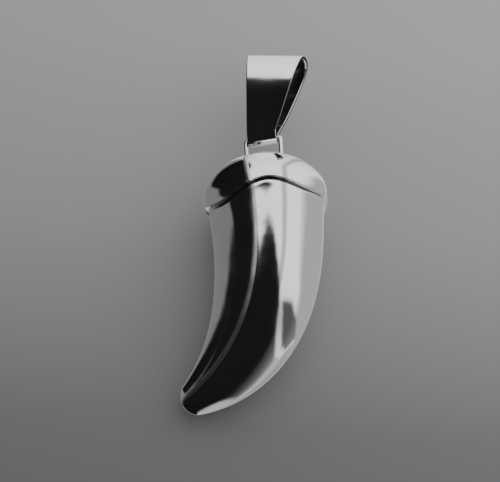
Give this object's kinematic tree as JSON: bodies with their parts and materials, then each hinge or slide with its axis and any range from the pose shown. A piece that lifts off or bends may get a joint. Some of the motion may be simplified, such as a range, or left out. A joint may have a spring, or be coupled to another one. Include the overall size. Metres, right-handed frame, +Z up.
{
  "type": "horn pendant",
  "caption": "Hollow curved horn pendant with a domed cap, a wire loop and a folded strip bail that swings on the loop, lying on its side.",
  "frame": {"origin": "on the surface that the pendant lies on, under the middle of its box", "axes": "+Z up from that surface, +Y along the pendant from the tip towards the bail, +X across it"},
  "size_m": [0.011, 0.0312, 0.0103],
  "materials": {
    "polished_silver": "mirror polished silver",
    "solder": "silver solder, a little duller than the sheet"
  },
  "bodies": {
    "horn": {"horn_inner_half": "polished_silver", "horn_outer_half": "polished_silver", "horn_seam_solder": "solder", "cap_inner_half": "polished_silver", "cap_outer_half": "polished_silver", "cap_seam_solder": "solder", "hanging_loop": "polished_silver", "loop_solder_left": "solder", "loop_solder_right": "solder"},
    "bail": {"bail": "polished_silver", "bail_solder": "solder"}
  },
  "joints": [
    {"name": "bail_swing", "type": "hinge", "parent": "horn", "child": "bail", "pos_m": [-0.00027, 0.00805, 0.00561], "axis": [-0.9576, -0.091, -0.2732], "range_deg": [-105, 105]}
  ]
}
